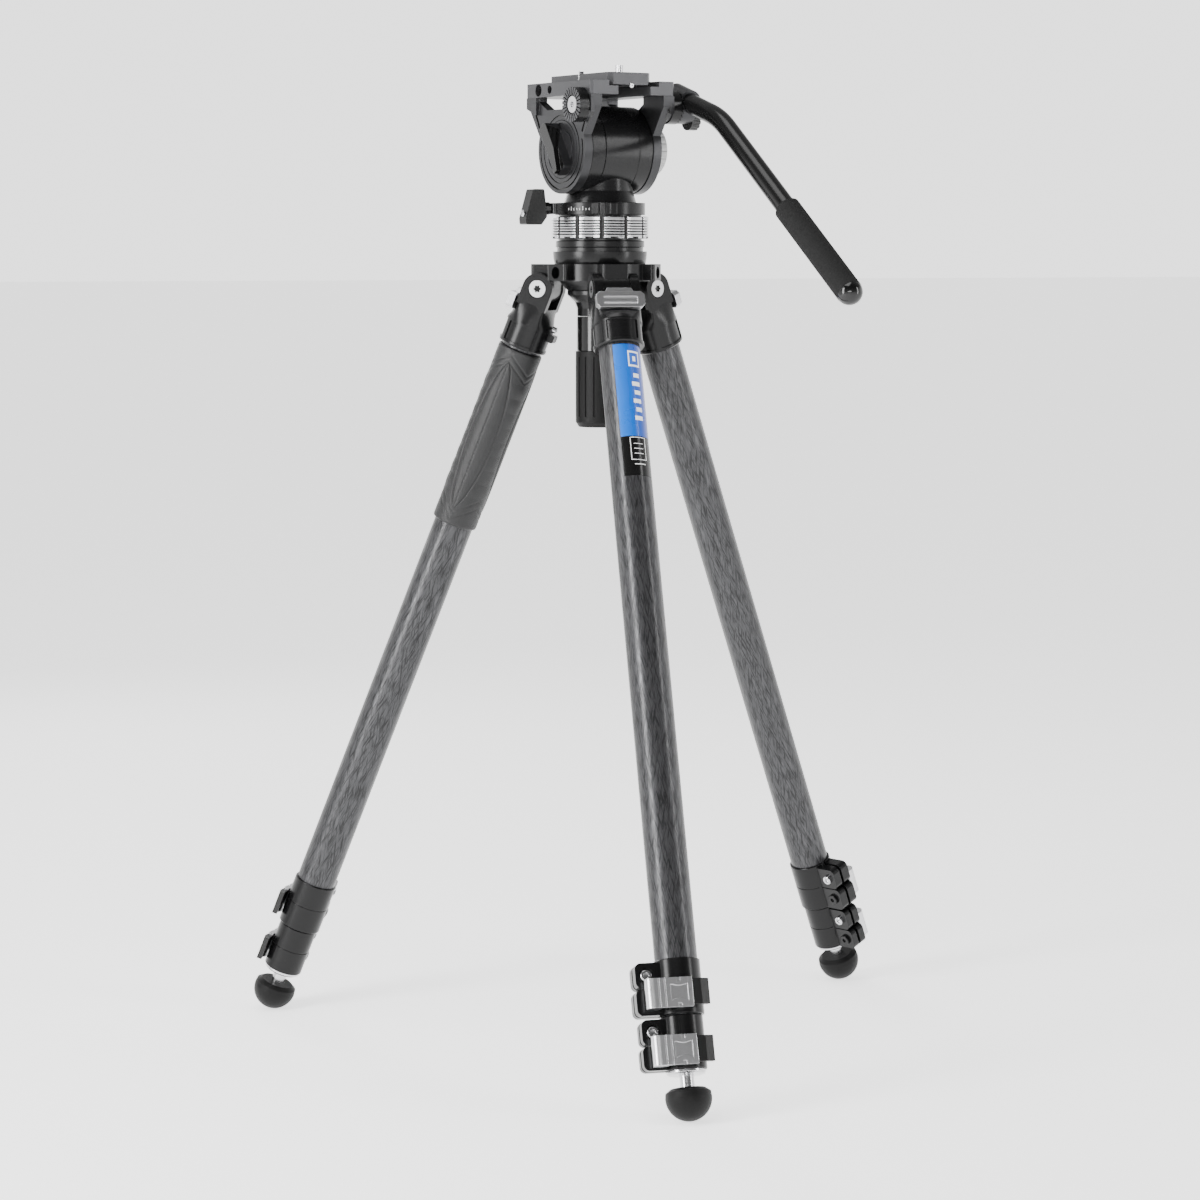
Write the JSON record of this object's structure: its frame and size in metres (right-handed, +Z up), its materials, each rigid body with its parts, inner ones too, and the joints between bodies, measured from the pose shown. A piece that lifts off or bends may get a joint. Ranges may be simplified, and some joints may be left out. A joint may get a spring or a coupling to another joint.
{
  "type": "video tripod with fluid head",
  "caption": "Three-legged video tripod with flip-lock extending legs, a levelling half ball and a fluid head with a camera plate and a pan bar.",
  "frame": {"origin": "on the floor, under the pan axis", "axes": "+Z up along the pan axis, +Y the way the camera looks, +X to the operator's right"},
  "size_m": [0.5053, 0.5291, 0.7797],
  "materials": {
    "anodised_black": "satin",
    "satin_black": "satin",
    "barrel_black": "satin",
    "silver_metal": "satin",
    "bright_steel": "polished",
    "carbon_weave": "gloss",
    "black_rubber": "matte",
    "foam_grip": "matte",
    "pad_leather": "matte",
    "black_plastic": "matte",
    "grey_knob": "satin",
    "plate_grey": "satin",
    "ring_polymer": "matte"
  },
  "bodies": {
    "base": {"spider": "satin_black", "leg_hinge_bolts": "bright_steel"},
    "leg_a": {"leg_a_knuckle": "satin_black", "leg_a_upper_tube": "carbon_weave", "leg_a_upper_collar": "anodised_black", "leg_a_pad": "pad_leather"},
    "leg_a_lock": {"leg_a_angle_lock": "silver_metal"},
    "leg_a_upper_flip": {"leg_a_upper_lever": "silver_metal"},
    "leg_a_middle": {"leg_a_middle_tube": "carbon_weave", "leg_a_lower_collar": "anodised_black"},
    "leg_a_lower_flip": {"leg_a_lower_lever": "silver_metal"},
    "leg_a_lower": {"leg_a_lower_tube": "carbon_weave", "leg_a_end_plug": "bright_steel", "leg_a_foot": "black_rubber"},
    "leg_b": {"leg_b_knuckle": "satin_black", "leg_b_upper_tube": "carbon_weave", "leg_b_upper_collar": "anodised_black"},
    "leg_b_lock": {"leg_b_angle_lock": "silver_metal"},
    "leg_b_upper_flip": {"leg_b_upper_lever": "silver_metal"},
    "leg_b_middle": {"leg_b_middle_tube": "carbon_weave", "leg_b_lower_collar": "anodised_black"},
    "leg_b_lower_flip": {"leg_b_lower_lever": "silver_metal"},
    "leg_b_lower": {"leg_b_lower_tube": "carbon_weave", "leg_b_end_plug": "bright_steel", "leg_b_foot": "black_rubber"},
    "leg_c": {"leg_c_knuckle": "satin_black", "leg_c_upper_tube": "carbon_weave", "leg_c_upper_collar": "anodised_black"},
    "leg_c_lock": {"leg_c_angle_lock": "silver_metal"},
    "leg_c_upper_flip": {"leg_c_upper_lever": "silver_metal"},
    "leg_c_middle": {"leg_c_middle_tube": "carbon_weave", "leg_c_lower_collar": "anodised_black"},
    "leg_c_lower_flip": {"leg_c_lower_lever": "silver_metal"},
    "leg_c_lower": {"leg_c_lower_tube": "carbon_weave", "leg_c_end_plug": "bright_steel", "leg_c_foot": "black_rubber"},
    "bowl_ring": {"bowl_ring": "ring_polymer"},
    "level": {"half_ball": "anodised_black", "level_cup": "anodised_black", "link_seat": "anodised_black", "pan_base": "satin_black"},
    "level_handle": {"level_handle": "black_rubber"},
    "lock_ring": {"lock_ring": "silver_metal"},
    "pan_lock": {"pan_lock_knob": "black_plastic"},
    "pan": {"head_body": "barrel_black", "drag_cartridges": "barrel_black"},
    "tilt": {"tilt_axle": "bright_steel", "left_cheek": "satin_black", "right_cheek": "satin_black", "platform": "plate_grey", "rosettes": "anodised_black"},
    "tilt_lock": {"left_knob": "anodised_black"},
    "tilt_drag": {"right_knob": "grey_knob"},
    "plate": {"camera_plate": "plate_grey"},
    "plate_lock": {"plate_lock_knob": "black_plastic"},
    "camera_screw": {"camera_screw": "bright_steel"},
    "pan_bar": {"bar_clamp": "satin_black", "pan_bar": "anodised_black", "bar_grip": "foam_grip"},
    "bar_lock": {"clamp_knob": "black_plastic"}
  },
  "joints": [
    {"name": "leg_a_spread", "type": "hinge", "parent": "base", "child": "leg_a", "pos_m": [-0.03064, 0.0355, 0.60463], "axis": [0.757, 0.6534, 0], "range_deg": [-22.2, 55]},
    {"name": "leg_a_angle_lock", "type": "hinge", "parent": "leg_a", "child": "leg_a_lock", "pos_m": [-0.04466, 0.05174, 0.59178], "axis": [-0.757, -0.6534, 0], "range_deg": [0, 17], "stiffness_Nm_per_rad": 0.15, "springref_deg": -5.73},
    {"name": "leg_a_upper_lever", "type": "hinge", "parent": "leg_a", "child": "leg_a_upper_flip", "pos_m": [-0.16078, 0.22238, 0.09276], "axis": [-0.2469, 0.286, -0.9259], "range_deg": [0, 150]},
    {"name": "leg_a_lower_lever", "type": "hinge", "parent": "leg_a_middle", "child": "leg_a_lower_flip", "pos_m": [-0.17134, 0.23217, 0.05346], "axis": [-0.2469, 0.286, -0.9259], "range_deg": [0, 150]},
    {"name": "leg_a_middle_slide", "type": "slide", "parent": "leg_a", "child": "leg_a_middle", "axis": [-0.2469, 0.286, -0.9259], "range_m": [0, 0.43]},
    {"name": "leg_a_lower_slide", "type": "slide", "parent": "leg_a_middle", "child": "leg_a_lower", "axis": [-0.2469, 0.286, -0.9259], "range_m": [0, 0.43]},
    {"name": "leg_b_spread", "type": "hinge", "parent": "base", "child": "leg_b", "pos_m": [-0.01542, -0.04429, 0.60463], "axis": [-0.9444, 0.3289, 0], "range_deg": [-22.2, 55]},
    {"name": "leg_b_angle_lock", "type": "hinge", "parent": "leg_b", "child": "leg_b_lock", "pos_m": [-0.02248, -0.06454, 0.59178], "axis": [0.9444, -0.3289, 0], "range_deg": [0, 17], "stiffness_Nm_per_rad": 0.15, "springref_deg": -5.73},
    {"name": "leg_b_upper_lever", "type": "hinge", "parent": "leg_b", "child": "leg_b_upper_flip", "pos_m": [-0.1122, -0.25043, 0.09276], "axis": [-0.1243, -0.3568, -0.9259], "range_deg": [0, 150]},
    {"name": "leg_b_lower_lever", "type": "hinge", "parent": "leg_b_middle", "child": "leg_b_lower_flip", "pos_m": [-0.11539, -0.26447, 0.05346], "axis": [-0.1243, -0.3568, -0.9259], "range_deg": [0, 150]},
    {"name": "leg_b_middle_slide", "type": "slide", "parent": "leg_b", "child": "leg_b_middle", "axis": [-0.1243, -0.3568, -0.9259], "range_m": [0, 0.43]},
    {"name": "leg_b_lower_slide", "type": "slide", "parent": "leg_b_middle", "child": "leg_b_lower", "axis": [-0.1243, -0.3568, -0.9259], "range_m": [0, 0.43]},
    {"name": "leg_c_spread", "type": "hinge", "parent": "base", "child": "leg_c", "pos_m": [0.04607, 0.00879, 0.60463], "axis": [0.1874, -0.9823, 0], "range_deg": [-22.2, 55]},
    {"name": "leg_c_angle_lock", "type": "hinge", "parent": "leg_c", "child": "leg_c_lock", "pos_m": [0.06713, 0.01281, 0.59178], "axis": [-0.1874, 0.9823, 0], "range_deg": [0, 17], "stiffness_Nm_per_rad": 0.15, "springref_deg": -5.73},
    {"name": "leg_c_upper_lever", "type": "hinge", "parent": "leg_c", "child": "leg_c_upper_flip", "pos_m": [0.27297, 0.02805, 0.09276], "axis": [0.3711, 0.0708, -0.9259], "range_deg": [0, 150]},
    {"name": "leg_c_lower_lever", "type": "hinge", "parent": "leg_c_middle", "child": "leg_c_lower_flip", "pos_m": [0.28673, 0.0323, 0.05346], "axis": [0.3711, 0.0708, -0.9259], "range_deg": [0, 150]},
    {"name": "leg_c_middle_slide", "type": "slide", "parent": "leg_c", "child": "leg_c_middle", "axis": [0.3711, 0.0708, -0.9259], "range_m": [0, 0.43]},
    {"name": "leg_c_lower_slide", "type": "slide", "parent": "leg_c_middle", "child": "leg_c_lower", "axis": [0.3711, 0.0708, -0.9259], "range_m": [0, 0.43]},
    {"name": "level_azimuth", "type": "hinge", "parent": "base", "child": "bowl_ring", "pos_m": [0, 0, 0.634], "axis": [0, 0, 1], "continuous": true},
    {"name": "level_tilt", "type": "hinge", "parent": "bowl_ring", "child": "level", "pos_m": [0, 0, 0.634], "axis": [1, 0, 0], "range_deg": [0, 12]},
    {"name": "level_clamp", "type": "hinge", "parent": "level", "child": "level_handle", "pos_m": [0, 0, 0.54], "axis": [0, 0, -1], "range_deg": [0, 270]},
    {"name": "link_ring", "type": "hinge", "parent": "level", "child": "lock_ring", "pos_m": [0, 0, 0.653], "axis": [0, 0, 1], "range_deg": [0, 60]},
    {"name": "pan_clamp", "type": "hinge", "parent": "level", "child": "pan_lock", "pos_m": [-0.055, 0, 0.668], "axis": [-1, 0, 0], "range_deg": [0, 150]},
    {"name": "pan", "type": "hinge", "parent": "level", "child": "pan", "pos_m": [0, 0, 0.673], "axis": [0, 0, -1], "continuous": true},
    {"name": "tilt", "type": "hinge", "parent": "pan", "child": "tilt", "pos_m": [0, 0, 0.7145], "axis": [1, 0, 0], "range_deg": [-90, 70]},
    {"name": "tilt_clamp", "type": "hinge", "parent": "tilt", "child": "tilt_lock", "pos_m": [-0.036, 0, 0.7145], "axis": [-1, 0, 0], "range_deg": [0, 120]},
    {"name": "tilt_drag_knob", "type": "hinge", "parent": "tilt", "child": "tilt_drag", "pos_m": [0.044, 0, 0.7145], "axis": [1, 0, 0], "range_deg": [0, 270]},
    {"name": "plate_slide", "type": "slide", "parent": "tilt", "child": "plate", "axis": [0, 1, 0], "range_m": [-0.025, 0.025]},
    {"name": "plate_clamp", "type": "hinge", "parent": "tilt", "child": "plate_lock", "pos_m": [0.045, -0.008, 0.761], "axis": [1, 0, 0], "range_deg": [0, 180]},
    {"name": "camera_screw_turn", "type": "hinge", "parent": "plate", "child": "camera_screw", "pos_m": [0, -0.028, 0.77], "axis": [0, 0, 1], "range_deg": [0, 300]},
    {"name": "bar_angle", "type": "hinge", "parent": "tilt", "child": "pan_bar", "pos_m": [0.048, -0.034, 0.748], "axis": [-1, 0, 0], "range_deg": [-50, 60]},
    {"name": "bar_clamp_knob", "type": "hinge", "parent": "pan_bar", "child": "bar_lock", "pos_m": [0.065, -0.0325, 0.7382], "axis": [1, 0, 0], "range_deg": [0, 270]}
  ]
}
